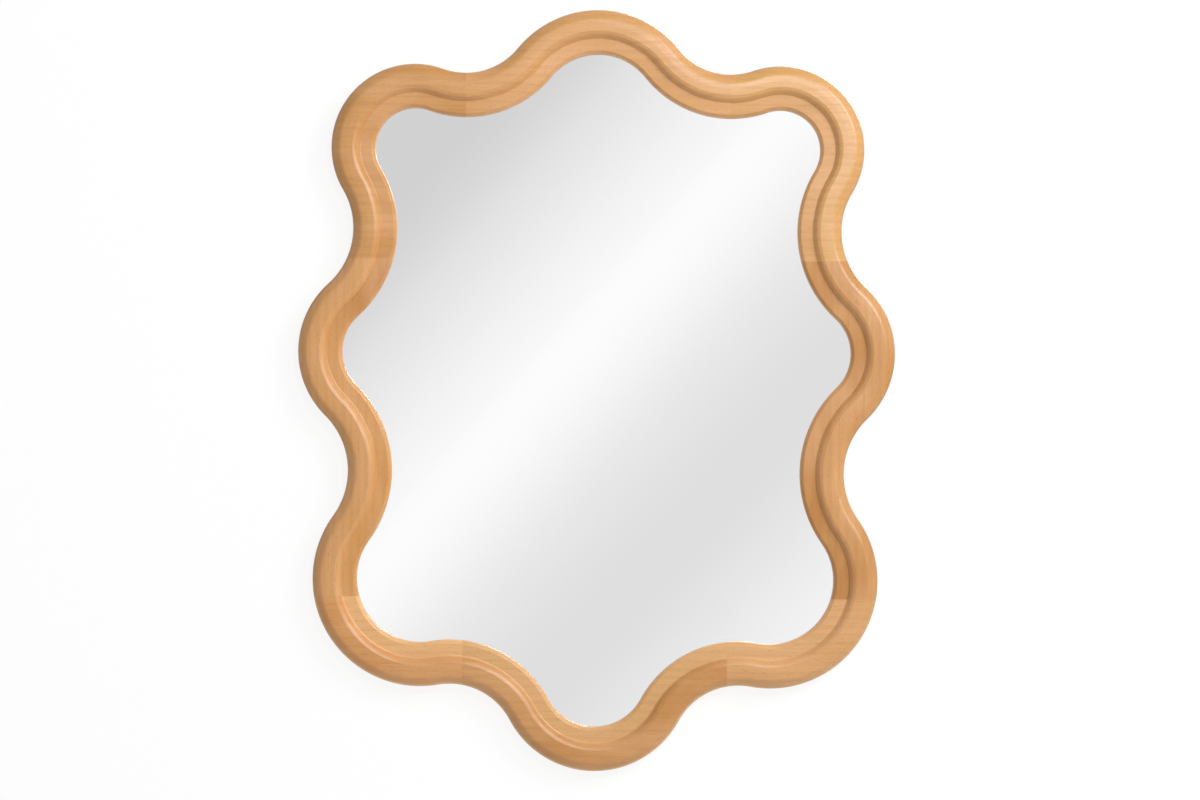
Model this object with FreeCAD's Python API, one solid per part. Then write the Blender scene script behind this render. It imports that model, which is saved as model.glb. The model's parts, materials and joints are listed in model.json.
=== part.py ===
import FreeCAD, Part
import math
import os
from collections import namedtuple

# A wall mirror in a wavy wooden frame. The frame is eight glued pieces of solid wood with a
# stepped moulding. The glass lies in a rebate at the back, under a board that turn buttons hold.
# Millimetres. +X is to the right seen from the front, +Z is up and the glass faces -Y.
# The origin is the centre of the whole object's box. Heights in the section are measured
# forwards from the back of the wood, and insets are measured inwards from its outer edge.

# Outer edge: one circle for each lobe on the right half, mirrored to the left half.
top_lobe_z = 295.0
top_lobe_radius = 110.8
upper_lobe_x = 195.1
upper_lobe_z = 257.9
upper_lobe_radius = 89.3
side_lobe_x = 221.4
side_lobe_z = 40.5
side_lobe_radius = 97.1
lower_lobe_x = 186.7
lower_lobe_z = -202.2
lower_lobe_radius = 114.8
bottom_lobe_z = -303.9
bottom_lobe_radius = 102.4

# Hollow arcs between the lobes, each tangent to the lobe on either side.
top_waist_radius = 71.5
upper_waist_radius = 80.0
lower_waist_radius = 82.1
bottom_waist_radius = 72.6

# Glued seams between the frame's pieces.
top_seam_x = 141.0
bottom_seam_x = 141.0
upper_seam_z = 139.0
lower_seam_z = -221.0

# Moulding, from the outer edge to the sight edge. The lip lies in front of the rebate.
bevel_width = 9.5
bevel_drop = 7.2
crown_width = 13.8
crown_fall = 0.2
nose_width = 3.2
nose_drop = 1.2
step_width = 4.3
step_drop = 5.5
land_width = 12.8
land_fall = 1.0
sight_bevel_width = 2.9
sight_bevel_drop = 3.0
lip_thickness = 5.0

# Softening of the moulding's edges.
back_edge_radius = 1.5
shoulder_radius = 8.0
crown_outer_radius = 7.0
crown_middle_radius = 40.0
crown_inner_radius = 1.0
nose_radius = 4.0
cove_radius = 1.5
land_edge_radius = 1.5
sight_edge_radius = 0.8

# Rebate and what lies in it.
rebate_width = 9.7
glass_thickness = 4.0
glass_clearance = 1.5
tape_thickness = 1.0
tape_width = 6.0
tape_setback = 1.5
board_thickness = 3.0
board_clearance = 1.0

# Dowels across the seams, two to a seam.
dowel_radius = 3.0
dowel_length = 22.0
dowel_end_gap = 1.0
dowel_chamfer = 0.8
dowel_edge = 10.0
dowel_height = 10.0

# Pan-head wood screws with a cross recess.
screw_radius = 2.0
screw_tip_length = 4.0
screw_head_radius = 3.75
screw_head_height = 2.4
screw_head_rim = 0.7
recess_width = 0.9
recess_length = 4.4
recess_depth = 1.3
button_screw_grip = 14.0
hanger_screw_grip = 16.0

# Turn buttons, one at each lobe. A toe lies over the board.
button_thickness = 1.5
button_boss_radius = 7.0
button_toe_radius = 5.0
button_reach = 18.0
button_hole_clearance = 0.08
button_screw_inset = 12.0
rib_width = 3.0
rib_height = 1.0
rib_start = 9.0
upper_button_angle = 55.0
side_button_angle = 0.0
lower_button_angle = -45.0

# Strap hangers with a D ring.
strap_width = 10.0
strap_thickness = 1.0
strap_hole_clearance = 0.15
strap_hole_spacing = 14.0
strap_end_margin = 6.0
ring_wire_radius = 1.25
ring_pivot_clearance = 0.1
ring_side_gap = 1.75
ring_corner_radius = 2.5
ring_leg_length = 8.0
ring_head_gap = 1.25
ring_rest_gap = 0.3
hanger_pivot_rise = 12.0

# Rubber bumpers that hold the frame off the wall.
bumper_radius = 6.0
bumper_height = 6.0
bumper_edge_radius = 1.0
upper_bumper_angle = 95.0
lower_bumper_angle = -80.0

# Places that follow from the sizes above.
frame_width = (bevel_width + crown_width + nose_width + step_width + land_width
               + sight_bevel_width)
rebate_inset = frame_width - rebate_width
rebate_depth = board_thickness + glass_thickness + tape_thickness
land_edge_height = rebate_depth + lip_thickness + sight_bevel_drop
land_height = land_edge_height + land_fall
nose_height = land_height + step_drop
crown_edge_height = nose_height + nose_drop
crown_tip_height = crown_edge_height + crown_fall
crown_slope = math.atan(2 * crown_fall / crown_width)
frame_thickness = crown_tip_height - crown_middle_radius * (1 / math.cos(crown_slope) - 1)
back_y = (frame_thickness - bumper_height) / 2
strap_inset = rebate_inset / 2
middle_z = (top_lobe_z + top_lobe_radius + bottom_lobe_z - bottom_lobe_radius) / 2
far = 2 * (top_lobe_z - bottom_lobe_z)

# The D ring's bar spans the strap, and its bow goes round the first screw's head when it is down.
ring_bow_radius = strap_width / 2 + ring_side_gap + ring_corner_radius
ring_reach = ring_leg_length + ring_bow_radius
ring_lift = ring_wire_radius + ring_pivot_clearance + strap_thickness
ring_lean = math.degrees(math.asin((ring_lift - ring_wire_radius - ring_rest_gap) / ring_reach))
first_hole_drop = ring_reach - ring_wire_radius - ring_head_gap - screw_head_radius

FORWARDS = FreeCAD.Vector(0, -1, 0)
BACKWARDS = FreeCAD.Vector(0, 1, 0)
SIDEWAYS = FreeCAD.Vector(1, 0, 0)
ORIGIN = FreeCAD.Vector(0, 0, 0)

Circle = namedtuple("Circle", "x z radius convex")
Arc = namedtuple("Arc", "x z radius convex start sweep")


# ---- outline ----

def lobe(x, z, radius):
    return Circle(x, z - middle_z, radius, True)


def waist(first, second, radius):
    """The hollow circle outside two lobes that touches both."""
    dx = second.x - first.x
    dz = second.z - first.z
    gap = math.hypot(dx, dz)
    to_first = first.radius + radius
    to_second = second.radius + radius
    along = (gap ** 2 + to_first ** 2 - to_second ** 2) / (2 * gap)
    out = math.sqrt(to_first ** 2 - along ** 2)
    x = first.x + (dx * along - dz * out) / gap
    z = first.z + (dz * along + dx * out) / gap
    return Circle(x, z, radius, False)


def bearing(origin, target):
    return math.degrees(math.atan2(target.z - origin.z, target.x - origin.x))


def outline_circles():
    """All circles of the outline, clockwise from the top lobe."""
    top = lobe(0, top_lobe_z, top_lobe_radius)
    upper = lobe(upper_lobe_x, upper_lobe_z, upper_lobe_radius)
    side = lobe(side_lobe_x, side_lobe_z, side_lobe_radius)
    lower = lobe(lower_lobe_x, lower_lobe_z, lower_lobe_radius)
    bottom = lobe(0, bottom_lobe_z, bottom_lobe_radius)
    right = [
        waist(top, upper, top_waist_radius),
        upper,
        waist(upper, side, upper_waist_radius),
        side,
        waist(side, lower, lower_waist_radius),
        lower,
        waist(lower, bottom, bottom_waist_radius),
    ]
    left = [circle._replace(x=-circle.x) for circle in reversed(right)]
    return [top] + right + [bottom] + left


def outline_arcs(circles):
    """Each circle's stretch between its two neighbours, as an anticlockwise sweep."""
    arcs = []
    for index, circle in enumerate(circles):
        before = bearing(circle, circles[index - 1])
        after = bearing(circle, circles[(index + 1) % len(circles)])
        start, end = (after, before) if circle.convex else (before, after)
        arcs.append(Arc(*circle, start, (end - start) % 360))
    return arcs


circles = outline_circles()
arcs = outline_arcs(circles)
top_lobe, upper_lobe, side_lobe, lower_lobe, bottom_lobe = circles[0:9:2]


def height_y(height):
    """The y of a height measured forwards from the back of the wood."""
    return back_y - height


def radius_at(arc, inset):
    return arc.radius - inset if arc.convex else arc.radius + inset


def point_on(arc, inset, degrees, height=0.0):
    radius = radius_at(arc, inset)
    turn = math.radians(degrees)
    return FreeCAD.Vector(
        arc.x + radius * math.cos(turn),
        height_y(height),
        arc.z + radius * math.sin(turn),
    )


def outline_face(inset, height):
    """The face inside the outline after it is moved inwards by an inset."""
    edges = []
    for arc in arcs:
        angles = [arc.start, arc.start + arc.sweep / 2, arc.start + arc.sweep]
        edges.append(Part.Arc(*[point_on(arc, inset, a, height) for a in angles]).toShape())
    return Part.Face(Part.Wire(Part.__sortEdges__(edges)))


def sheet(inset, height, thickness):
    """A flat sheet with the outline's shape, from a height forwards by its thickness."""
    return outline_face(inset, height).extrude(FORWARDS * thickness)


# ---- moulding ----

def moulding_corners():
    """Corners of the section as (inset, height, radius), round from the back edge."""
    crown_end = bevel_width + crown_width
    nose_end = crown_end + nose_width
    return [
        (0, 0, back_edge_radius),
        (0, crown_edge_height - bevel_drop, shoulder_radius),
        (bevel_width, crown_edge_height, crown_outer_radius),
        (bevel_width + crown_width / 2, crown_tip_height, crown_middle_radius),
        (crown_end, crown_edge_height, crown_inner_radius),
        (nose_end, nose_height, nose_radius),
        (nose_end + step_width, land_height, cove_radius),
        (frame_width - sight_bevel_width, land_edge_height, land_edge_radius),
        (frame_width, rebate_depth + lip_thickness, sight_edge_radius),
        (frame_width, rebate_depth, 0),
        (rebate_inset, rebate_depth, 0),
        (rebate_inset, 0, 0),
    ]


def rounded_edges(corners, place):
    """Straight edges between the corners and an arc at each corner that has a radius."""
    runs = []
    edges = []
    for index, (u, v, radius) in enumerate(corners):
        here = FreeCAD.Vector(u, v, 0)
        back = (FreeCAD.Vector(*corners[index - 1][:2], 0) - here).normalize()
        onward = FreeCAD.Vector(*corners[(index + 1) % len(corners)][:2], 0) - here
        onward.normalize()
        if not radius:
            runs.append((here, here))
            continue
        half = back.getAngle(onward) / 2
        tangent = radius / math.tan(half)
        inwards = (back + onward).normalize()
        middle = here + inwards * (radius / math.sin(half) - radius)
        first = here + back * tangent
        last = here + onward * tangent
        edges.append(Part.Arc(place(first), place(middle), place(last)).toShape())
        runs.append((first, last))
    for (_, leave), (arrive, _) in zip(runs, runs[1:] + runs[:1]):
        edges.append(Part.makeLine(place(leave), place(arrive)))
    return edges


def moulding_along(arc):
    """The moulding swept round one arc of the outline."""
    def place(point):
        return FreeCAD.Vector(radius_at(arc, point.x), height_y(point.y), 0)

    edges = rounded_edges(moulding_corners(), place)
    section = Part.Face(Part.Wire(Part.__sortEdges__(edges)))
    section.rotate(ORIGIN, FORWARDS, arc.start)
    centre = FreeCAD.Vector(arc.x, 0, arc.z)
    section.translate(centre)
    return section.revolve(centre, FORWARDS, arc.sweep)


def block(x_low, x_high, z_low, z_high):
    box = Part.makeBox(x_high - x_low, far, z_high - z_low)
    box.translate(FreeCAD.Vector(x_low, -far / 2, z_low))
    return box


def mirrored(shape):
    return shape.mirror(ORIGIN, SIDEWAYS)


def seams():
    """Each seam on the right half: a point far outside the frame, and the way inwards."""
    y = height_y(dowel_height)
    leftwards = FreeCAD.Vector(-1, 0, 0)
    return [
        (FreeCAD.Vector(top_seam_x, y, far), FreeCAD.Vector(0, 0, -1)),
        (FreeCAD.Vector(bottom_seam_x, y, -far), FreeCAD.Vector(0, 0, 1)),
        (FreeCAD.Vector(far, y, upper_seam_z - middle_z), leftwards),
        (FreeCAD.Vector(far, y, lower_seam_z - middle_z), leftwards),
    ]


def way_in(start, inwards, inset):
    """How far along a seam the outline lies, once it is moved inwards by an inset."""
    seam = Part.makeLine(start, start + inwards * far)
    outline = outline_face(inset, dowel_height).OuterWire
    return min(start.distanceToPoint(vertex.Point) for vertex in outline.section(seam).Vertexes)


def dowel_places():
    """Each dowel's middle and direction on the right half, two to a seam."""
    places = []
    for start, inwards in seams():
        along = inwards.cross(BACKWARDS)
        outer = way_in(start, inwards, 0) + dowel_edge
        inner = way_in(start, inwards, rebate_inset) - dowel_edge
        places += [(start + inwards * distance, along) for distance in (outer, inner)]
    return places


def dowel_at(middle, along, length):
    return Part.makeCylinder(dowel_radius, length, middle - along * (length / 2), along)


def dowels():
    solids = []
    for middle, along in dowel_places():
        plain = dowel_at(middle, along, dowel_length)
        ends = [edge for edge in plain.Edges if edge.Curve.TypeId == "Part::GeomCircle"]
        dowel = plain.makeChamfer(dowel_chamfer, ends)
        solids += [dowel, mirrored(dowel)]
    return Part.makeCompound(solids)


def frame_pieces():
    """The frame's pieces by name, with their dowel and screw holes."""
    segments = [moulding_along(arc) for arc in arcs]
    ring = segments[0].multiFuse(segments[1:]).removeSplitter()
    holes = [dowel_at(m, a, dowel_length + 2 * dowel_end_gap) for m, a in dowel_places()]
    holes += [screw_shank(at, button_screw_grip) for at, _ in button_places().values()]
    holes += [screw_shank(at, hanger_screw_grip) for at in hanger_screw_places()]
    holes += [mirrored(hole) for hole in holes]
    upper = upper_seam_z - middle_z
    lower = lower_seam_z - middle_z
    regions = {
        "frame_top": block(-top_seam_x, top_seam_x, 0, far),
        "frame_corner_upper_right": block(top_seam_x, far, upper, far),
        "frame_side_right": block(0, far, lower, upper),
        "frame_corner_lower_right": block(bottom_seam_x, far, -far, lower),
        "frame_bottom": block(-bottom_seam_x, bottom_seam_x, -far, 0),
    }
    pieces = {}
    for name, region in regions.items():
        piece = ring.common(region).cut(holes).Solids[0]
        pieces[name] = piece
        if name.endswith("_right"):
            pieces[name.replace("_right", "_left")] = mirrored(piece)
    return pieces


# ---- glass, tape and board ----

def foam_tape():
    """A ring of tape on the ledge, set back from the sight edge."""
    inner = frame_width - tape_setback
    height = board_thickness + glass_thickness
    outside = sheet(inner - tape_width, height, tape_thickness)
    return outside.cut(sheet(inner, height, tape_thickness))


def mirror_glass():
    return sheet(rebate_inset + glass_clearance, board_thickness, glass_thickness)


def backing_board():
    return sheet(rebate_inset + board_clearance, 0, board_thickness)


# ---- screws ----

def screw_shank(at, grip):
    """A shank that goes forwards into the wood, with a pointed end."""
    straight = grip - screw_tip_length
    shank = Part.makeCylinder(screw_radius, straight, at, FORWARDS)
    tip_start = at + FORWARDS * straight
    tip = Part.makeCone(screw_radius, 0, screw_tip_length, tip_start, FORWARDS)
    return shank.fuse(tip)


def screw_head(seat):
    """A domed head on its seat, with two crossed slots."""
    rise = screw_head_height - screw_head_rim
    dome_radius = (screw_head_radius ** 2 + rise ** 2) / (2 * rise)
    centre = seat + BACKWARDS * (screw_head_height - dome_radius)
    head = Part.makeCylinder(screw_head_radius, screw_head_height, seat, BACKWARDS)
    head = head.common(Part.makeSphere(dome_radius, centre))
    for angle in (0, 90):
        slot = Part.makeBox(recess_length, recess_depth, recess_width)
        slot.translate(FreeCAD.Vector(-recess_length / 2, -recess_depth, -recess_width / 2))
        slot.rotate(ORIGIN, BACKWARDS, angle)
        slot.translate(seat + BACKWARDS * screw_head_height)
        head = head.cut(slot)
    return head


def screw(at, under_head, grip):
    """A screw at a point on the wood's back, with its head over what it clamps."""
    seat = at + BACKWARDS * under_head
    neck = Part.makeCylinder(screw_radius, under_head, at, BACKWARDS)
    return screw_shank(at, grip).fuse(neck).fuse(screw_head(seat)).removeSplitter()


# ---- turn buttons ----

def button_places():
    """Each turn button's screw and its direction from the lobe's centre, on the right half."""
    inset = rebate_inset - button_screw_inset
    lobes = {
        "top": (top_lobe, 90),
        "upper_right": (upper_lobe, upper_button_angle),
        "side_right": (side_lobe, side_button_angle),
        "lower_right": (lower_lobe, lower_button_angle),
        "bottom": (bottom_lobe, -90),
    }
    return {name: (point_on(lobe, inset, angle), angle) for name, (lobe, angle) in lobes.items()}


def turn_button(at, outwards_angle):
    """A flat button whose toe points inwards, with a pressed rib along it."""
    lean = math.asin((button_boss_radius - button_toe_radius) / button_reach)
    up = FreeCAD.Vector(math.sin(lean), 0, math.cos(lean))
    down = FreeCAD.Vector(up.x, 0, -up.z)
    toe = FreeCAD.Vector(button_reach, 0, 0)
    boss_back = FreeCAD.Vector(-button_boss_radius, 0, 0)
    toe_front = toe + FreeCAD.Vector(button_toe_radius, 0, 0)
    edges = [
        Part.Arc(up * button_boss_radius, boss_back, down * button_boss_radius).toShape(),
        Part.makeLine(down * button_boss_radius, toe + down * button_toe_radius),
        Part.Arc(toe + down * button_toe_radius, toe_front, toe + up * button_toe_radius).toShape(),
        Part.makeLine(toe + up * button_toe_radius, up * button_boss_radius),
    ]
    plate = Part.Face(Part.Wire(edges)).extrude(BACKWARDS * button_thickness)
    rib_length = button_reach - rib_start
    rib = Part.makeBox(rib_length, rib_height, rib_width)
    rib.translate(FreeCAD.Vector(rib_start, button_thickness, -rib_width / 2))
    for x in (rib_start, button_reach):
        foot = FreeCAD.Vector(x, button_thickness, 0)
        rib = rib.fuse(Part.makeCylinder(rib_width / 2, rib_height, foot, BACKWARDS))
    hole_radius = screw_radius + button_hole_clearance
    hole = Part.makeCylinder(hole_radius, button_thickness, ORIGIN, BACKWARDS)
    button = plate.fuse(rib).cut(hole).removeSplitter()
    button.rotate(ORIGIN, FORWARDS, outwards_angle + 180)
    button.translate(at)
    return button


# ---- hangers ----

def hanger_pivot():
    """Middle of the D ring's straight bar, on the right hanger."""
    foot = point_on(upper_lobe, strap_inset, 0)
    return foot + BACKWARDS * ring_lift + FreeCAD.Vector(0, 0, hanger_pivot_rise)


def hanger_screw_places():
    pivot = hanger_pivot()
    drops = (first_hole_drop, first_hole_drop + strap_hole_spacing)
    return [FreeCAD.Vector(pivot.x, back_y, pivot.z - drop) for drop in drops]


def hanger_strap():
    """A strap below the ring's bar, rolled into an eye round the bar."""
    pivot = hanger_pivot()
    eye_inner = ring_wire_radius + ring_pivot_clearance
    eye_outer = eye_inner + strap_thickness
    half = strap_width / 2
    start = FreeCAD.Vector(pivot.x - half, pivot.y, pivot.z)
    straight = first_hole_drop + strap_hole_spacing + strap_end_margin - half
    strap = Part.makeBox(strap_width, strap_thickness, straight)
    strap.translate(FreeCAD.Vector(pivot.x - half, back_y, pivot.z - straight))
    round_end = FreeCAD.Vector(pivot.x, back_y, pivot.z - straight)
    strap = strap.fuse(Part.makeCylinder(half, strap_thickness, round_end, BACKWARDS))
    strap = strap.fuse(Part.makeCylinder(eye_outer, strap_width, start, SIDEWAYS))
    strap = strap.cut(Part.makeCylinder(eye_inner, strap_width, start, SIDEWAYS))
    hole_radius = screw_radius + strap_hole_clearance
    for at in hanger_screw_places():
        strap = strap.cut(Part.makeCylinder(hole_radius, strap_thickness, at, BACKWARDS))
    return strap.removeSplitter()


def hanger_ring():
    """A D ring of round wire that stands up from its bar and leans on the wood."""
    side = ring_bow_radius
    corner = ring_corner_radius
    bend = corner * (1 - math.sqrt(0.5))

    def at(x, z):
        return FreeCAD.Vector(x, 0, z)

    path = Part.Wire([
        Part.makeLine(at(corner - side, 0), at(side - corner, 0)),
        Part.Arc(at(side - corner, 0), at(side - bend, bend), at(side, corner)).toShape(),
        Part.makeLine(at(side, corner), at(side, ring_leg_length)),
        Part.Arc(at(side, ring_leg_length), at(0, ring_reach), at(-side, ring_leg_length)).toShape(),
        Part.makeLine(at(-side, ring_leg_length), at(-side, corner)),
        Part.Arc(at(-side, corner), at(bend - side, bend), at(corner - side, 0)).toShape(),
    ])
    start = at(corner - side, 0)
    wire = Part.Wire(Part.makeCircle(ring_wire_radius, start, SIDEWAYS))
    ring = path.makePipeShell([wire], True, False)
    ring.rotate(ORIGIN, SIDEWAYS, ring_lean)
    ring.translate(hanger_pivot())
    return ring


# ---- bumpers ----

def bumper_at(at):
    """A round rubber foot with a softened rim."""
    plain = Part.makeCylinder(bumper_radius, bumper_height, at, BACKWARDS)
    rim = [edge for edge in plain.Edges if abs(edge.CenterOfMass.y - at.y - bumper_height) < 1e-6]
    return plain.makeFillet(bumper_edge_radius, rim)


def bumper_places():
    return {
        "upper_right": point_on(upper_lobe, strap_inset, upper_bumper_angle),
        "lower_right": point_on(lower_lobe, strap_inset, lower_bumper_angle),
    }


# ---- the whole mirror ----

def both_sides(name, shape):
    """A right-hand piece and its mirror image, by name."""
    return {name: shape, name.replace("_right", "_left"): mirrored(shape)}


def build():
    parts = frame_pieces()
    parts["joint_dowels"] = dowels()
    parts["foam_tape"] = foam_tape()
    parts["mirror_glass"] = mirror_glass()
    parts["backing_board"] = backing_board()
    button_screws = []
    for name, (at, angle) in button_places().items():
        button = turn_button(at, angle)
        fastener = screw(at, button_thickness, button_screw_grip)
        button_screws.append(fastener)
        if name.endswith("_right"):
            parts.update(both_sides("turn_button_" + name, button))
            button_screws.append(mirrored(fastener))
        else:
            parts["turn_button_" + name] = button
    parts["button_screws"] = Part.makeCompound(button_screws)
    parts.update(both_sides("hanger_strap_right", hanger_strap()))
    parts.update(both_sides("hanger_ring_right", hanger_ring()))
    hanger_screws = []
    for at in hanger_screw_places():
        fastener = screw(at, strap_thickness, hanger_screw_grip)
        hanger_screws += [fastener, mirrored(fastener)]
    parts["hanger_screws"] = Part.makeCompound(hanger_screws)
    for name, at in bumper_places().items():
        parts.update(both_sides("wall_bumper_" + name, bumper_at(at)))
    return parts


os.makedirs("parts", exist_ok=True)
for node, shape in build().items():
    box = shape.BoundBox
    print(f"{node:28s} solids {len(shape.Solids):2d}  volume {shape.Volume:11.1f}"
          f"  x {box.XMin:8.2f} {box.XMax:8.2f}  y {box.YMin:7.2f} {box.YMax:7.2f}"
          f"  z {box.ZMin:8.2f} {box.ZMax:8.2f}  valid {shape.isValid()}")
    shape.exportStep(f"parts/{node}.step")
print("hanger ring pivot, right:", hanger_pivot(), "lean", round(ring_lean, 3))
for name, (at, _) in button_places().items():
    print("turn button pivot,", name, at)
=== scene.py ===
import json
import math

import bpy
from mathutils import Matrix, Vector


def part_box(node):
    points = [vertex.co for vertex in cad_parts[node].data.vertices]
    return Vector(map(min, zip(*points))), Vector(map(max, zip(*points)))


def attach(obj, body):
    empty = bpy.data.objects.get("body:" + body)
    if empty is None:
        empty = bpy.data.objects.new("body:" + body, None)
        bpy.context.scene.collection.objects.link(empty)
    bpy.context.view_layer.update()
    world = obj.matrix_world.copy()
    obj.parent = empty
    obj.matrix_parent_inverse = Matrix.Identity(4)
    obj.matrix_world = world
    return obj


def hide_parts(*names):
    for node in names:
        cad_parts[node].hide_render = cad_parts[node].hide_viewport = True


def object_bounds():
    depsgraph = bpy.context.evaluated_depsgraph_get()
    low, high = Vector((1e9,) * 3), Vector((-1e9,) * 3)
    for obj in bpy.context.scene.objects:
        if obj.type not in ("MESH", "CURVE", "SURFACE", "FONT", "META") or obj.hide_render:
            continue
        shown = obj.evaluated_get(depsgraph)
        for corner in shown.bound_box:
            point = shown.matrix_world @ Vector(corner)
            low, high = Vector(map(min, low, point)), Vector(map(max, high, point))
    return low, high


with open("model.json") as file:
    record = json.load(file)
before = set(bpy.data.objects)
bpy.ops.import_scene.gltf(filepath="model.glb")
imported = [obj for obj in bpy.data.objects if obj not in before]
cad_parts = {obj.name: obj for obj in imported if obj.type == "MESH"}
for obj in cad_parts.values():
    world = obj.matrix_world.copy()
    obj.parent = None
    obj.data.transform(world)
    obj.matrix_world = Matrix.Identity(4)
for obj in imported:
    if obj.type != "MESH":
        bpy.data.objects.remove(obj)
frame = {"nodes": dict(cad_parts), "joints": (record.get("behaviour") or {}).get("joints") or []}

bl_info = {
    "name": "Wavy Wood Mirror",
    "version": (1, 0, 0),
    "blender": (4, 5, 0),
    "location": "3D View > Sidebar > Wavy Mirror",
    "description": "Finishes a wavy beech wall mirror, its fittings and its studio",
    "category": "Object",
}

# Everything is in metres in the frame of the solids: +X right seen from the front, +Z up, and
# the glass faces -Y. Patterns are sized in millimetres.
LOW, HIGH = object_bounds()
MM_PER_M = 1000.0

# Each board of the frame: the tone of its front, the tone of its land, edge and back, how far
# its grain is turned from X in degrees, the place in the log that its pattern comes from, and
# how far its upper end is browned. The tones are partly the board's own and partly painted
# light: painted sheen makes the right-hand corners' fronts a little paler, painted light makes
# the lands of the lower boards and the left side paler, and painted shade darkens the right
# side's land.
BOARDS = {
    "frame_top": ("#D09859", "#CE9659", 0, (40, 0, 12), 0.0),
    "frame_corner_upper_right": ("#D19D5B", "#CA9557", 0, (310, 20, 77), 0.0),
    "frame_side_right": ("#C18748", "#B87D39", 90, (120, 44, 190), 0.0),
    "frame_corner_lower_right": ("#CF995E", "#D4A267", 0, (520, 9, 31), 0.0),
    "frame_bottom": ("#C28747", "#D6A468", 0, (240, 30, 5), 0.0),
    "frame_corner_lower_left": ("#D09150", "#E4AF72", 0, (75, 51, 260), 0.0),
    "frame_side_left": ("#CF9657", "#CC904A", 90, (610, 13, 95), 0.6),
    "frame_corner_upper_left": ("#C68D4B", "#C18640", 0, (430, 37, 150), 0.0),
}
# The front tone gives way to the other one at the foot of the step, just before the land.
TONE_CHANGE_Y = -0.0095
TONE_CHANGE_BLUR = 0.0002
# A browned end starts at the first height and is full at the second.
BROWNED_FROM_Z, BROWNED_FULL_Z = 0.055, 0.115

# Which way each turn button's toe points at rest, in degrees from +X towards +Z.
TOE_ANGLES = {"top": -90, "upper_right": -125, "side_right": 180, "lower_right": 135,
              "bottom": 90, "lower_left": 45, "side_left": 0, "upper_left": -55}

# New pieces: the sides of a full circle, the sharpest edge that is shaded smooth, the turn
# that brings a primitive's top to the front, and how near two places are to count as one.
ROUND_SIDES = 48
SMOOTH_ANGLE = math.radians(35)
UPRIGHT = (math.pi / 2, 0, 0)
NEAR = 1e-5

# The stage: a floor, a wall that stands on it close behind the mirror, and a card that stands
# behind the camera and turns its face to the mirror.
FLOOR_Z, FLOOR_SIZE = -1.6, 12.0
WALL_GAP, WALL_SIZE = 0.0005, 9.0
CARD_PLACE, CARD_SIZE, CARD_TURN = (0, -4.2, 0.6), 9.0, (math.pi / 2, 0, math.pi)

# Sockets of a Mix node that mixes colours.
MIX_FACTOR, MIX_FROM, MIX_TO = 0, 6, 7
MIX_RESULT = 2
# Distance between the bands of a Wave texture whose scale is 1.
WAVE_SPACING = math.pi / 10


# ---- small helpers ----

def linear(code):
    """An sRGB hex colour as linear red, green, blue and alpha."""
    channels = [int(code[start:start + 2], 16) / 255 for start in (1, 3, 5)]
    steps = [c / 12.92 if c <= 0.04045 else ((c + 0.055) / 1.055) ** 2.4 for c in channels]
    return (*steps, 1.0)


def grey(value):
    """An opaque grey, from 0 for black to 1 for white."""
    return (value, value, value, 1.0)


def darkened(tone, share):
    """A colour that keeps only a share of its light."""
    return (*(channel * share for channel in tone[:3]), 1.0)


def colour(name, about, code):
    """A colour that a user may change, from its hex default."""
    return bpy.props.FloatVectorProperty(
        name=name, description=about, default=linear(code), size=4, min=0, max=1,
        subtype="COLOR")


def add(tree, kind, inputs=(), stops=(), **settings):
    """Add a node, set its properties, its unlinked sockets and the stops of its colour ramp,
    link its other sockets, and return it."""
    node = tree.nodes.new(kind)
    for name, value in settings.items():
        setattr(node, name, value)
    for socket, value in dict(inputs).items():
        if isinstance(value, bpy.types.NodeSocket):
            tree.links.new(value, node.inputs[socket])
        else:
            node.inputs[socket].default_value = value
    for index, (position, value) in enumerate(stops):
        elements = node.color_ramp.elements
        element = elements[index] if index < 2 else elements.new(position)
        element.position = position
        element.color = value
    return node


def new_material(name):
    """An empty material and its node tree."""
    material = bpy.data.materials.new(name)
    material.use_nodes = True
    material.node_tree.nodes.clear()
    return material, material.node_tree


def show(tree, shader):
    """Send a shader to the surface."""
    add(tree, "ShaderNodeOutputMaterial", {"Surface": shader.outputs[0]})


def tinted(tree, tone, layers):
    """Tint a colour by patterns in turn. Each layer is a pattern, its values where the tint
    starts and where it is full, the share of tint when full, and the tint itself."""
    for pattern, start, full, share, tint in layers:
        amount = add(tree, "ShaderNodeMapRange", {
            "Value": pattern, "From Min": start, "From Max": full, "To Max": share})
        tone = add(tree, "ShaderNodeMix", {
            MIX_FACTOR: amount.outputs[0], MIX_FROM: tone, MIX_TO: tint},
            data_type="RGBA").outputs[MIX_RESULT]
    return tone


def looked_at(tree):
    """1 where a ray comes from the camera, a shiny surface or clear glass, otherwise 0."""
    path = add(tree, "ShaderNodeLightPath").outputs
    seen = add(tree, "ShaderNodeMath", {0: path["Is Camera Ray"], 1: path["Is Glossy Ray"]},
               operation="MAXIMUM").outputs[0]
    return add(tree, "ShaderNodeMath", {0: seen, 1: path["Is Transmission Ray"]},
               operation="MAXIMUM").outputs[0]


def finish_node(name, material):
    """Give a solid its material in each of its slots."""
    for slot in frame["nodes"][name].material_slots:
        slot.material = material


def new_piece(primitive, **settings):
    """A new piece that starts as a primitive, alone selected, with its place in its mesh."""
    bpy.ops.object.select_all(action="DESELECT")
    primitive(**settings)
    bpy.ops.object.transform_apply(location=True, rotation=True, scale=True)
    return bpy.context.object


def pick(piece):
    """Make a piece the active object and the only one selected."""
    bpy.ops.object.select_all(action="DESELECT")
    piece.select_set(True)
    bpy.context.view_layer.objects.active = piece


def edit_points(piece, test):
    """Select only the points whose place passes the test, and go into edit mode."""
    for part in (*piece.data.polygons, *piece.data.edges):
        part.select = False
    for point in piece.data.vertices:
        point.select = test(point.co)
    bpy.ops.object.mode_set(mode="EDIT")


def leave_edit():
    """Go back to object mode."""
    bpy.ops.object.mode_set(mode="OBJECT")


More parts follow.
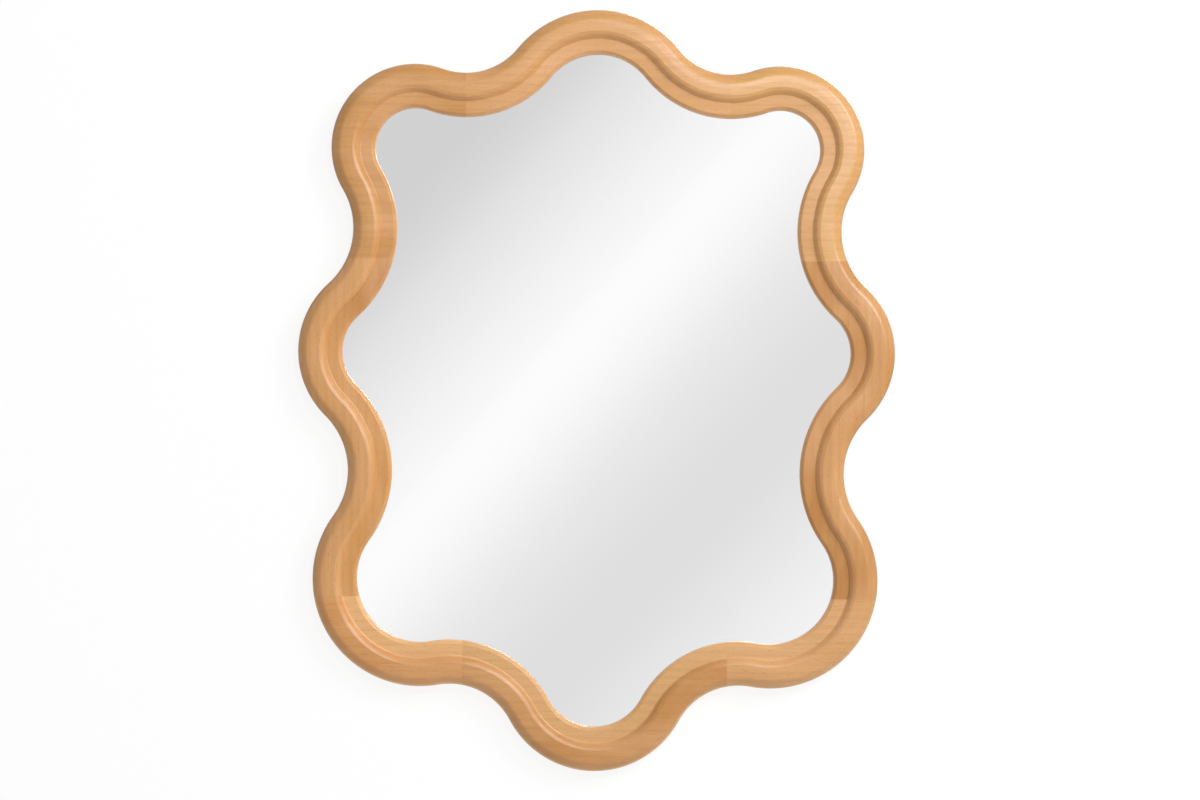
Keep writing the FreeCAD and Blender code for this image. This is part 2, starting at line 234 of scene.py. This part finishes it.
def put(pattern, name, place, turn):
    """A copy of a pattern piece with its own mesh, turned about Y and moved to its place."""
    piece = pattern.copy()
    piece.data = pattern.data.copy()
    piece.name = piece.data.name = name
    bpy.context.collection.objects.link(piece)
    piece.location = place
    piece.rotation_euler = (0, turn, 0)
    pick(piece)
    bpy.ops.object.transform_apply(location=True, rotation=True, scale=True)
    return piece


# ---- settings ----

class WoodSettings(bpy.types.PropertyGroup):
    """Colours and grain of the beech frame."""
    early_tone: colour("Early Wood", "Paler wood between the rings", "#DBA46E")
    late_tone: colour("Late Wood", "Browner wood in the rings and flecks", "#9A6533")
    browned_tone: colour("Browned End", "Browner wood at a board's upper end", "#A5652A")
    ring_spacing: bpy.props.FloatProperty(
        name="Ring Spacing", description="Distance between growth rings, in millimetres",
        default=9.0, min=1.0, max=40.0)
    fibre_width: bpy.props.FloatProperty(
        name="Fibre Width", description="Width of a visible fibre streak, in millimetres",
        default=1.9, min=0.2, max=8.0)
    fibre_length: bpy.props.FloatProperty(
        name="Fibre Length", description="Length of a visible fibre streak, in millimetres",
        default=70.0, min=2.0, max=200.0)
    roughness: bpy.props.FloatProperty(
        name="Roughness", description="Roughness of the satin surface",
        default=0.36, min=0.0, max=1.0)


class GlassSettings(bpy.types.PropertyGroup):
    """The silvered glass."""
    silver: colour("Silver", "Colour of the silvering seen through the glass", "#FCFCFC")
    paint: colour("Back Paint", "Paint that covers the silvering", "#6E7376")
    roughness: bpy.props.FloatProperty(
        name="Roughness", description="Roughness of the reflection",
        default=0.012, min=0.0, max=0.3)


class FittingSettings(bpy.types.PropertyGroup):
    """Back board, steel fittings, tape and bumpers."""
    board: colour("Hardboard", "Main colour of the back board", "#96714C")
    board_fibre: colour("Hardboard Fibre", "Darker fibres in the back board", "#6A4A2E")
    board_speck: colour("Hardboard Speck", "Paler specks in the back board", "#BE9A70")
    zinc: colour("Zinc", "Zinc plating on screws, straps and rings", "#D3D3D0")
    nickel: colour("Nickel", "Nickel plating on the turn buttons", "#CFC9BE")
    rubber: colour("Rubber", "Milky rubber of the bumpers", "#D4D3CD")
    foam: colour("Foam", "White foam tape", "#EDECE6")
    bumper_edge: bpy.props.FloatProperty(
        name="Bumper Edge", description="How far a rubber bumper's rim is rounded",
        default=0.0022, min=0.0005, max=0.004, unit="LENGTH")
    bumper_dimple: bpy.props.FloatProperty(
        name="Bumper Dimple", description="Depth of the dimple in a rubber bumper's top",
        default=0.0006, min=0.0, max=0.002, unit="LENGTH")


class ButtonSettings(bpy.types.PropertyGroup):
    """Sizes of a stamped turn button."""
    thickness: bpy.props.FloatProperty(
        name="Thickness", description="Thickness of the steel",
        default=0.0015, min=0.0003, max=0.005, unit="LENGTH")
    boss_radius: bpy.props.FloatProperty(
        name="Boss Radius", description="Radius of the end on the screw",
        default=0.007, min=0.002, max=0.02, unit="LENGTH")
    toe_radius: bpy.props.FloatProperty(
        name="Toe Radius", description="Radius of the end over the board",
        default=0.005, min=0.001, max=0.02, unit="LENGTH")
    reach: bpy.props.FloatProperty(
        name="Reach", description="From the screw to the middle of the toe",
        default=0.018, min=0.005, max=0.06, unit="LENGTH")
    hole_radius: bpy.props.FloatProperty(
        name="Hole Radius", description="Radius of the screw's hole",
        default=0.00208, min=0.001, max=0.006, unit="LENGTH")
    edge: bpy.props.FloatProperty(
        name="Edge Softness", description="How far the stamped edge is rounded",
        default=0.0005, min=0.0001, max=0.001, unit="LENGTH")
    rib_start: bpy.props.FloatProperty(
        name="Rib Start", description="From the screw to the start of the pressed rib",
        default=0.009, min=0.003, max=0.05, unit="LENGTH")
    rib_radius: bpy.props.FloatProperty(
        name="Rib Radius", description="Half the width of the pressed rib",
        default=0.0015, min=0.0005, max=0.004, unit="LENGTH")
    rib_height: bpy.props.FloatProperty(
        name="Rib Height", description="How far the rib stands above the plate",
        default=0.001, min=0.0002, max=0.003, unit="LENGTH")


class StageSettings(bpy.types.PropertyGroup):
    """Camera, lamps and light from all round."""
    distance: bpy.props.FloatProperty(
        name="Camera Distance", description="From the camera to the middle of the mirror",
        default=3.0, min=1.0, max=20.0, unit="LENGTH")
    width_seen: bpy.props.FloatProperty(
        name="Width Seen", description="Width of the picture at the mirror",
        default=1.2822, min=0.2, max=10.0, unit="LENGTH")
    key_power: bpy.props.FloatProperty(
        name="Key Power", description="Power of the large lamp at the right, in watts",
        default=60.0, min=0.0, max=1000.0)
    sheen_power: bpy.props.FloatProperty(
        name="Sheen Power", description="Power of the small lamp above on the right, in watts",
        default=18.0, min=0.0, max=1000.0)
    back_power: bpy.props.FloatProperty(
        name="Back Power", description="Power of the lamp behind the wall, in watts",
        default=90.0, min=0.0, max=1000.0)
    ambient: bpy.props.FloatProperty(
        name="Ambient", description="Strength of the light from all round",
        default=0.30, min=0.0, max=2.0)


# ---- materials ----

def beech(name, settings, front_tone_and_painted_light, rear_tone_and_painted_light, turn, shift, browned=0.0):
    """Solid beech, sanded, oiled and lightly lacquered: a warm tan with long faint fibre
    streaks, soft rings, short dark ray flecks, and a satin sheen. The front of the moulding
    and the wood behind it each have their own tone, which is partly the wood's own tone and
    partly painted light and shade, and the rear tone may be browned towards the board's upper
    end. Grain runs along the board, which is turned about Y by an angle in degrees."""
    material, tree = new_material(name)
    place = add(tree, "ShaderNodeTexCoord").outputs["Object"]
    split = add(tree, "ShaderNodeSeparateXYZ", {"Vector": place}).outputs
    # The rear tone is partly painted light and shade: paler on lands that face the light, darker
    # on lands that face away.
    rear = tinted(tree, rear_tone_and_painted_light, [
        (split["Z"], BROWNED_FROM_Z, BROWNED_FULL_Z, browned, settings.browned_tone)])
    front_end = TONE_CHANGE_Y - TONE_CHANGE_BLUR
    rear_start = TONE_CHANGE_Y + TONE_CHANGE_BLUR
    tone = tinted(tree, front_tone_and_painted_light, [(split["Y"], front_end, rear_start, 1.0, rear)])
    # The place on the board in millimetres, with X along the grain.
    board = add(tree, "ShaderNodeMapping", {
        "Vector": place,
        "Location": shift,
        "Rotation": (0, math.radians(turn), 0),
        "Scale": (MM_PER_M,) * 3,
    }).outputs[0]
    # Soft patches 90 mm long and 30 mm wide.
    drawn_out = add(tree, "ShaderNodeVectorMath", {0: board, 1: (1 / 90, 1 / 30, 1 / 30)},
                    operation="MULTIPLY").outputs[0]
    patch = add(tree, "ShaderNodeTexNoise", {
        "Vector": drawn_out, "Scale": 1.0, "Detail": 2.0, "Roughness": 0.5}).outputs["Fac"]
    # Growth rings, drawn out along the grain and a little wavy.
    squeezed = add(tree, "ShaderNodeVectorMath", {0: board, 1: (0.12, 1, 1)},
                   operation="MULTIPLY").outputs[0]
    ring = add(tree, "ShaderNodeTexWave", {
        "Vector": squeezed, "Scale": WAVE_SPACING / settings.ring_spacing, "Distortion": 5.0,
        "Detail": 2.0, "Detail Scale": 0.8, "Detail Roughness": 0.5},
        bands_direction="Z").outputs["Fac"]
    # Fibre streaks, far longer than wide.
    streak = (1 / settings.fibre_length, 1 / settings.fibre_width, 1 / settings.fibre_width)
    along = add(tree, "ShaderNodeVectorMath", {0: board, 1: streak},
                operation="MULTIPLY").outputs[0]
    fibre = add(tree, "ShaderNodeTexNoise", {
        "Vector": along, "Scale": 1.0, "Detail": 3.0, "Roughness": 0.6}).outputs["Fac"]
    # Ray flecks are 0.3 mm wide on real beech, and drawn at 0.7 mm so that they show.
    dashed = add(tree, "ShaderNodeVectorMath", {0: board, 1: (1 / 4.5, 1 / 0.7, 1 / 0.7)},
                 operation="MULTIPLY").outputs[0]
    fleck = add(tree, "ShaderNodeTexNoise", {
        "Vector": dashed, "Scale": 1.0, "Detail": 0.0}).outputs["Fac"]
    # Patches turn the wood paler, and rings, fibres and flecks turn it browner.
    grained = tinted(tree, tone, [
        (patch, 0.38, 0.64, 0.55, settings.early_tone),
        (ring, 0.45, 1.0, 0.10, settings.late_tone),
        (fibre, 0.45, 0.72, 0.18, settings.late_tone),
        (fleck, 0.66, 0.78, 0.30, settings.late_tone),
    ])
    satin = add(tree, "ShaderNodeMapRange", {
        "Value": fibre, "From Min": 0.3, "From Max": 0.7,
        "To Min": settings.roughness - 0.05, "To Max": settings.roughness + 0.07})
    # Open fibres, about 0.04 mm deep.
    relief = add(tree, "ShaderNodeBump", {
        "Height": fibre, "Strength": 0.35, "Distance": 0.00012})
    shader = add(tree, "ShaderNodeBsdfPrincipled", {
        "Base Color": grained,
        "Roughness": satin.outputs[0],
        "Normal": relief.outputs[0],
        "IOR": 1.5,
        "Coat Weight": 0.25,
        "Coat Roughness": 0.34,
    })
    show(tree, shader)
    return material


def silvered_glass(settings):
    """Float glass, silvered and painted behind: a clean neutral reflection with a trace of
    haze that comes and goes. Its back shows the matt grey paint."""
    material, tree = new_material("silvered_float_glass")
    coordinates = add(tree, "ShaderNodeTexCoord")
    # The haze comes in clouds, six to the metre.
    cloud = add(tree, "ShaderNodeTexNoise", {
        "Vector": coordinates.outputs["Object"], "Scale": 6.0, "Detail": 1.0})
    haze = add(tree, "ShaderNodeMapRange", {
        "Value": cloud.outputs["Fac"], "From Min": 0.3, "From Max": 0.7,
        "To Min": settings.roughness * 0.6, "To Max": settings.roughness * 1.4})
    facing = add(tree, "ShaderNodeSeparateXYZ", {
        "Vector": coordinates.outputs["Normal"]}).outputs["Y"]
    behind = add(tree, "ShaderNodeMath", {0: facing, 1: 0.5}, operation="GREATER_THAN").outputs[0]
    silver = add(tree, "ShaderNodeMath", {0: 1.0, 1: behind}, operation="SUBTRACT").outputs[0]
    base = add(tree, "ShaderNodeMix", {
        MIX_FACTOR: behind, MIX_FROM: settings.silver, MIX_TO: settings.paint},
        data_type="RGBA").outputs[MIX_RESULT]
    paint_roughness = 0.5
    rough = add(tree, "ShaderNodeMath", {0: behind, 1: paint_roughness, 2: haze.outputs[0]},
                operation="MULTIPLY_ADD").outputs[0]
    shader = add(tree, "ShaderNodeBsdfPrincipled", {
        "Base Color": base, "Metallic": silver, "Roughness": rough})
    show(tree, shader)
    return material


def plated_steel(name, tone, roughness, line_width):
    """Stamped mild steel with a thin bright plating: a metal grey with fine rolling lines in
    its shine, a slight tint and cloudy patches. The lines' width is in millimetres."""
    material, tree = new_material(name)
    place = add(tree, "ShaderNodeTexCoord").outputs["Object"]
    # Clouds about 6 mm across, and lines 12 mm long.
    cloud = add(tree, "ShaderNodeTexNoise", {
        "Vector": place, "Scale": MM_PER_M / 6, "Detail": 3.0}).outputs["Fac"]
    rolled = (MM_PER_M / 12, MM_PER_M / line_width, MM_PER_M / line_width)
    along = add(tree, "ShaderNodeVectorMath", {0: place, 1: rolled},
                operation="MULTIPLY").outputs[0]
    line = add(tree, "ShaderNodeTexNoise", {
        "Vector": along, "Scale": 1.0, "Detail": 2.0}).outputs["Fac"]
    base = add(tree, "ShaderNodeMix", {
        MIX_FACTOR: cloud, MIX_FROM: darkened(tone, 0.82), MIX_TO: tone},
        data_type="RGBA").outputs[MIX_RESULT]
    shine = add(tree, "ShaderNodeMapRange", {
        "Value": line, "From Min": 0.3, "From Max": 0.7,
        "To Min": roughness - 0.06, "To Max": roughness + 0.08})
    relief = add(tree, "ShaderNodeBump", {
        "Height": line, "Strength": 0.2, "Distance": 0.00004})
    shader = add(tree, "ShaderNodeBsdfPrincipled", {
        "Base Color": base, "Metallic": 1.0, "Roughness": shine.outputs[0],
        "Normal": relief.outputs[0]})
    show(tree, shader)
    return material


def hardboard(settings):
    """Pressed wood fibre: a matt brown sheet with tangled darker fibres and pale specks."""
    material, tree = new_material("pressed_hardboard")
    place = add(tree, "ShaderNodeTexCoord").outputs["Object"]
    # Tangles of fibre about 9 mm across, specks of 2.2 mm, and patches of 130 mm.
    tangle = add(tree, "ShaderNodeTexNoise", {
        "Vector": place, "Scale": MM_PER_M / 9, "Detail": 4.0, "Roughness": 0.65,
        "Distortion": 1.6}).outputs["Fac"]
    speck = add(tree, "ShaderNodeTexNoise", {
        "Vector": place, "Scale": MM_PER_M / 2.2, "Detail": 2.0}).outputs["Fac"]
    patch = add(tree, "ShaderNodeTexNoise", {
        "Vector": place, "Scale": MM_PER_M / 130, "Detail": 2.0}).outputs["Fac"]
    base = tinted(tree, settings.board, [
        (tangle, 0.42, 0.68, 0.75, settings.board_fibre),
        (speck, 0.62, 0.74, 0.45, settings.board_speck),
        (patch, 0.35, 0.65, 0.30, settings.board_fibre),
    ])
    relief = add(tree, "ShaderNodeBump", {
        "Height": tangle, "Strength": 0.5, "Distance": 0.0002})
    shader = add(tree, "ShaderNodeBsdfPrincipled", {
        "Base Color": base, "Roughness": 0.68, "Normal": relief.outputs[0]})
    show(tree, shader)
    return material


def soft_plastic(name, tone, cell, roughness, depth, glow):
    """Moulded rubber or foam: a pale matt skin with small cells and a little light inside.
    The cells' size is in millimetres."""
    material, tree = new_material(name)
    place = add(tree, "ShaderNodeTexCoord").outputs["Object"]
    grain = add(tree, "ShaderNodeTexNoise", {
        "Vector": place, "Scale": MM_PER_M / cell, "Detail": 2.0}).outputs["Fac"]
    base = add(tree, "ShaderNodeMix", {
        MIX_FACTOR: grain, MIX_FROM: darkened(tone, 0.86), MIX_TO: tone},
        data_type="RGBA").outputs[MIX_RESULT]
    relief = add(tree, "ShaderNodeBump", {
        "Height": grain, "Strength": 0.4, "Distance": depth})
    shader = add(tree, "ShaderNodeBsdfPrincipled", {
        "Base Color": base, "Roughness": roughness, "Normal": relief.outputs[0],
        "Subsurface Weight": glow, "Subsurface Scale": 0.002})
    show(tree, shader)
    return material


def wall_paint():
    """White wall paint, mostly glow, so that the lamps hardly change it. It is clear from
    behind."""
    material, tree = new_material("white_wall_paint")
    paint = add(tree, "ShaderNodeBsdfDiffuse", {"Color": grey(0.14)})
    glow = add(tree, "ShaderNodeEmission", {"Color": grey(1.0), "Strength": 0.87})
    lit = add(tree, "ShaderNodeAddShader", {0: paint.outputs[0], 1: glow.outputs[0]})
    clear = add(tree, "ShaderNodeBsdfTransparent")
    behind = add(tree, "ShaderNodeNewGeometry").outputs["Backfacing"]
    one_sided = add(tree, "ShaderNodeMixShader", {
        0: behind, 1: lit.outputs[0], 2: clear.outputs[0]})
    show(tree, one_sided)
    return material


def floor_paint():
    """A pale, faintly mottled floor, brighter to the eye than in the light that it throws."""
    material, tree = new_material("pale_floor")
    place = add(tree, "ShaderNodeTexCoord").outputs["Object"]
    mottle = add(tree, "ShaderNodeTexNoise", {"Vector": place, "Scale": 1.5})
    tone = add(tree, "ShaderNodeMapRange", {
        "Value": mottle.outputs["Fac"], "To Min": 0.80, "To Max": 0.86})
    finish = add(tree, "ShaderNodeBsdfDiffuse", {"Color": tone.outputs[0]})
    glow = add(tree, "ShaderNodeEmission", {"Strength": 0.48})
    lit = add(tree, "ShaderNodeAddShader", {0: finish.outputs[0], 1: glow.outputs[0]})
    pale = add(tree, "ShaderNodeMixShader", {
        0: looked_at(tree), 1: finish.outputs[0], 2: lit.outputs[0]})
    show(tree, pale)
    return material


def banded_paper():
    """Glowing paper, shaded in soft diagonal bands. They climb to the right by 48 degrees."""
    climb = math.radians(48)
    half_width = 1.0
    bands = ((0.0, "#D6D6D6"), (0.14, "#CCCCCC"), (0.24, "#DFDFDF"), (0.40, "#FCFCFC"),
             (0.46, "#FEFEFE"), (0.56, "#E8E8E8"), (0.68, "#DCDCDC"), (0.77, "#E1E1E1"),
             (0.88, "#F2F2F2"), (1.0, "#F6F6F6"))
    material, tree = new_material("studio_card")
    place = add(tree, "ShaderNodeTexCoord").outputs["Object"]
    # Distance across the bands, from the upper left to the lower right.
    across = add(tree, "ShaderNodeVectorMath", {
        0: place, 1: (math.sin(climb), 0, -math.cos(climb))},
        operation="DOT_PRODUCT").outputs["Value"]
    position = add(tree, "ShaderNodeMapRange", {
        "Value": across, "From Min": -half_width, "From Max": half_width}).outputs[0]
    shade = add(tree, "ShaderNodeValToRGB", {"Fac": position},
                stops=[(stop, linear(code)) for stop, code in bands])
    shade.color_ramp.interpolation = "B_SPLINE"
    glow = add(tree, "ShaderNodeEmission", {"Color": shade.outputs[0], "Strength": 1.03})
    show(tree, glow)
    return material


# ---- operators ----

class MIRROR_OT_wood(bpy.types.Operator):
    """Finish the eight beech frame pieces, each cut from its own board, and their dowels"""
    bl_idname = "mirror.wood"
    bl_label = "Beech Frame"

    def execute(self, context):
        settings = context.scene.mirror_wood
        for name, (front, rear, turn, shift, browned) in BOARDS.items():
            label = name.replace("frame_", "oiled_beech_")
            # Each board's front and rear tones hold its own colour together with painted sheen,
            # light and shade.
            wood = beech(label, settings, linear(front), linear(rear), turn, shift, browned)
            finish_node(name, wood)
        pale = settings.early_tone
        finish_node("joint_dowels", beech("turned_beech", settings, pale, pale, 0, (15, 60, 90)))
        return {"FINISHED"}


class MIRROR_OT_glass(bpy.types.Operator):
    """Finish the silvered glass and the foam tape in front of it"""
    bl_idname = "mirror.glass"
    bl_label = "Glass and Tape"

    def execute(self, context):
        finish_node("mirror_glass", silvered_glass(context.scene.mirror_glass))
        foam = soft_plastic("foam_tape", context.scene.mirror_fittings.foam,
                            cell=0.6, roughness=0.85, depth=0.0001, glow=0.1)
        finish_node("foam_tape", foam)
        return {"FINISHED"}


class MIRROR_OT_board(bpy.types.Operator):
    """Finish the hardboard back"""
    bl_idname = "mirror.board"
    bl_label = "Back Board"

    def execute(self, context):
        finish_node("backing_board", hardboard(context.scene.mirror_fittings))
        return {"FINISHED"}


class MIRROR_OT_buttons(bpy.types.Operator):
    """Stamp the turn buttons that hold the back board, and set one on each screw"""
    bl_idname = "mirror.buttons"
    bl_label = "Turn Buttons"

    def execute(self, context):
        nickel = plated_steel("nickel_plated_steel", context.scene.mirror_fittings.nickel,
                              roughness=0.3, line_width=0.25)
        pattern = self.stamping(context.scene.mirror_button)
        pattern.data.materials.append(nickel)
        for joint in frame["joints"]:
            # A turn button's body has its node's name.
            node = joint["child"]
            if not node.startswith("turn_button"):
                continue
            finish_node(node, nickel)
            side = node.replace("turn_button_", "")
            piece = put(pattern, "stamped_button_" + side, joint["pos_m"],
                        -math.radians(TOE_ANGLES[side]))
            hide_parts(node)
            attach(piece, node)
        bpy.data.objects.remove(pattern)
        return {"FINISHED"}

    def stamping(self, settings):
        """A drop-shaped plate with a hole, a rounded edge and a pressed rib. It lies on the
        wood at the origin and its toe points to +X."""
        plate = new_piece(bpy.ops.mesh.primitive_circle_add, vertices=ROUND_SIDES,
                          radius=settings.boss_radius, rotation=UPRIGHT)
        # The front half shrinks to the toe and moves out to it.
        edit_points(plate, lambda at: at.x > NEAR)
        shrink = settings.toe_radius / settings.boss_radius
        bpy.ops.transform.resize(value=(shrink,) * 3, center_override=(0, 0, 0))
        bpy.ops.transform.translate(value=(settings.reach, 0, 0))
        # A second circle is the hole, and the plate is bridged between the two.
        bpy.ops.mesh.select_all(action="DESELECT")
        bpy.ops.mesh.primitive_circle_add(
            vertices=ROUND_SIDES, radius=settings.hole_radius, rotation=UPRIGHT)
        bpy.ops.mesh.select_all(action="SELECT")
        bpy.ops.mesh.bridge_edge_loops()
        bpy.ops.mesh.select_all(action="SELECT")
        bpy.ops.mesh.extrude_region_move(
            TRANSFORM_OT_translate={"value": (0, settings.thickness, 0)})
        bpy.ops.mesh.select_all(action="SELECT")
        bpy.ops.mesh.normals_make_consistent(inside=False)
        leave_edit()
        # Round the upper edge, which lies outside this radius, but not that of the hole.
        rim = settings.boss_radius * 0.7
        edit_points(plate, lambda at: at.y > settings.thickness - NEAR
                    and (at.x > rim or math.hypot(at.x, at.z) > rim))
        bpy.ops.mesh.bevel(offset=settings.edge, segments=3, affect="EDGES")
        leave_edit()
        rib = self.pressing(settings)
        pick(plate)
        join = plate.modifiers.new("rib", "BOOLEAN")
        join.operation = "UNION"
        join.object = rib
        bpy.ops.object.modifier_apply(modifier=join.name)
        bpy.data.objects.remove(rib)
        bpy.ops.object.shade_smooth_by_angle(angle=SMOOTH_ANGLE)
        return plate

    def pressing(self, settings):
        """The long low rib along the plate, its lower half sunk in the steel."""
        rib = new_piece(bpy.ops.mesh.primitive_uv_sphere_add, segments=24, ring_count=12,
                        radius=settings.rib_radius,
                        location=(settings.rib_start, settings.thickness, 0),
                        scale=(1, settings.rib_height / settings.rib_radius, 1))
        edit_points(rib, lambda at: at.x > settings.rib_start + NEAR)
        bpy.ops.transform.translate(value=(settings.reach - settings.rib_start, 0, 0))
        leave_edit()
        return rib


class MIRROR_OT_hangers(bpy.types.Operator):
    """Finish the hanger straps, the D rings and all the screws"""
    bl_idname = "mirror.hangers"
    bl_label = "Hangers and Screws"

    def execute(self, context):
        tone = context.scene.mirror_fittings.zinc
        zinc = plated_steel("zinc_plated_steel", tone, roughness=0.36, line_width=0.2)
        wire = plated_steel("zinc_plated_wire", tone, roughness=0.24, line_width=0.3)
        for name in frame["nodes"]:
            if name.startswith("hanger_ring"):
                finish_node(name, wire)
            elif name.startswith("hanger") or name.endswith("screws"):
                finish_node(name, zinc)
        return {"FINISHED"}


class MIRROR_OT_bumpers(bpy.types.Operator):
    """Mould the four rubber bumpers, with a round rim and a shallow dimple"""
    bl_idname = "mirror.bumpers"
    bl_label = "Wall Bumpers"

    def execute(self, context):
        settings = context.scene.mirror_fittings
        rubber = soft_plastic("milky_rubber", settings.rubber,
                              cell=1.5, roughness=0.45, depth=0.00005, glow=0.3)
        for node in list(frame["nodes"]):
            if not node.startswith("wall_bumper"):
                continue
            finish_node(node, rubber)
            low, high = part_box(node)
            piece = self.moulding(settings, Vector(low), Vector(high))
            piece.name = piece.data.name = node.replace("wall_bumper", "dimpled_bumper")
            piece.data.materials.append(rubber)
            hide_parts(node)
            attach(piece, "mirror")
        return {"FINISHED"}

    def moulding(self, settings, low, high):
        """A short cylinder in a box, its rim rounded and its top pressed in."""
        radius = (high.x - low.x) / 2
        piece = new_piece(bpy.ops.mesh.primitive_cylinder_add, vertices=ROUND_SIDES,
                          radius=radius, depth=high.y - low.y, location=(low + high) / 2,
                          rotation=UPRIGHT)
        edit_points(piece, lambda at: at.y > high.y - NEAR)
        bpy.ops.mesh.bevel(offset=settings.bumper_edge, segments=5, affect="EDGES")
        leave_edit()
        edit_points(piece, lambda at: at.y > high.y - NEAR)
        # A level ring inside the rim, the side of the dimple, and its sunken floor. Widths are
        # shares of the radius, and drops are shares of the dimple.
        for width, drop in ((0.12, 0), (0.16, 1), (0.1, 0.25)):
            bpy.ops.mesh.inset(thickness=radius * width, depth=-settings.bumper_dimple * drop)
        leave_edit()
        bpy.ops.object.shade_smooth_by_angle(angle=SMOOTH_ANGLE)
        return piece


class MIRROR_OT_stage(bpy.types.Operator):
    """Set up the camera, lamps, wall, floor and the card that the glass reflects"""
    bl_idname = "mirror.stage"
    bl_label = "Studio"

    def execute(self, context):
        settings = context.scene.mirror_stage
        self.camera(context, settings)
        self.lamps(settings)
        self.world(context, settings)
        # Only the camera sees the wall, and only reflections see the card.
        self.sheet("wall", WALL_SIZE, (0, HIGH[1] + WALL_GAP, FLOOR_Z + WALL_SIZE / 2), UPRIGHT,
                   wall_paint(), ("diffuse", "glossy", "transmission", "shadow"))
        self.sheet("floor", FLOOR_SIZE, (0, 0, FLOOR_Z), (0, 0, 0), floor_paint())
        self.sheet("studio_card", CARD_SIZE, CARD_PLACE, CARD_TURN, banded_paper(),
                   ("camera", "diffuse", "transmission", "volume_scatter", "shadow"))
        context.scene.view_settings.view_transform = "Standard"
        return {"FINISHED"}

    def camera(self, context, settings):
        """A camera straight in front of the mirror, with almost no roll."""
        data = bpy.data.cameras.new("camera")
        data.sensor_width = 36.0
        data.lens = data.sensor_width * settings.distance / settings.width_seen
        camera = bpy.data.objects.new("camera", data)
        context.collection.objects.link(camera)
        # The mirror stands a little left of the middle of the picture and above it.
        aside = 0.0040
        below = -0.0100
        roll = math.radians(0.39)
        camera.matrix_world = (
            Matrix.Translation((aside, -settings.distance, below))
            @ Matrix.Rotation(math.pi / 2, 4, "X")
            @ Matrix.Rotation(roll, 4, "Z"))
        context.scene.camera = camera

    def lamps(self, settings):
        """Square lamps, each with its place, side and power, turned to the mirror's middle."""
        middle = Vector((0, 0, 0))
        lamps = [
            ("key_lamp", (1.81, -1.93, 1.42), 1.3, settings.key_power),
            ("sheen_lamp", (0.48, -2.5, 0.86), 0.36, settings.sheen_power),
            ("back_lamp", (1.5, 2.9, 2.1), 2.0, settings.back_power),
        ]
        for name, place, side, power in lamps:
            data = bpy.data.lights.new(name, "AREA")
            data.size = side
            data.energy = power
            lamp = bpy.data.objects.new(name, data)
            bpy.context.collection.objects.link(lamp)
            lamp.location = place
            lamp.rotation_euler = (middle - lamp.location).to_track_quat("-Z", "Y").to_euler()

    def world(self, context, settings):
        """Soft light from all round, that looks white and is reflected as white."""
        world = bpy.data.worlds.new("studio")
        context.scene.world = world
        world.use_nodes = True
        tree = world.node_tree
        tree.nodes.clear()
        light = add(tree, "ShaderNodeBackground", {
            "Color": grey(1.0), "Strength": settings.ambient})
        white = add(tree, "ShaderNodeBackground", {"Color": grey(1.0), "Strength": 1.0})
        both = add(tree, "ShaderNodeMixShader", {
            0: looked_at(tree), 1: light.outputs[0], 2: white.outputs[0]})
        add(tree, "ShaderNodeOutputWorld", {"Surface": both.outputs[0]})

    def sheet(self, name, size, place, turn, material, unseen_by=()):
        """A flat square sheet of the stage, hidden from some kinds of ray."""
        piece = new_piece(
            bpy.ops.mesh.primitive_plane_add, size=size, location=place, rotation=turn)
        piece.name = name
        piece.data.materials.append(material)
        for ray in unseen_by:
            setattr(piece, "visible_" + ray, False)


class MIRROR_PT_panel(bpy.types.Panel):
    """Buttons and settings of the mirror"""
    bl_idname = "MIRROR_PT_panel"
    bl_label = "Wavy Mirror"
    bl_space_type = "VIEW_3D"
    bl_region_type = "UI"
    bl_category = "Wavy Mirror"

    def draw(self, context):
        for operator in OPERATORS:
            self.layout.operator(operator.bl_idname)
        for name, group in GROUPS.items():
            box = self.layout.box()
            for value in group.__annotations__:
                box.prop(getattr(context.scene, name), value)


OPERATORS = (MIRROR_OT_wood, MIRROR_OT_glass, MIRROR_OT_board, MIRROR_OT_buttons,
             MIRROR_OT_hangers, MIRROR_OT_bumpers, MIRROR_OT_stage)
GROUPS = {
    "mirror_wood": WoodSettings,
    "mirror_glass": GlassSettings,
    "mirror_fittings": FittingSettings,
    "mirror_button": ButtonSettings,
    "mirror_stage": StageSettings,
}
CLASSES = (*GROUPS.values(), *OPERATORS, MIRROR_PT_panel)


def register():
    for item in CLASSES:
        bpy.utils.register_class(item)
    for name, group in GROUPS.items():
        setattr(bpy.types.Scene, name, bpy.props.PointerProperty(type=group))


def unregister():
    for name in GROUPS:
        delattr(bpy.types.Scene, name)
    for item in reversed(CLASSES):
        bpy.utils.unregister_class(item)


def main():
    register()
    bpy.ops.mirror.wood()
    bpy.ops.mirror.glass()
    bpy.ops.mirror.board()
    bpy.ops.mirror.buttons()
    bpy.ops.mirror.hangers()
    bpy.ops.mirror.bumpers()
    bpy.ops.mirror.stage()


if __name__ == "__main__":
    main()
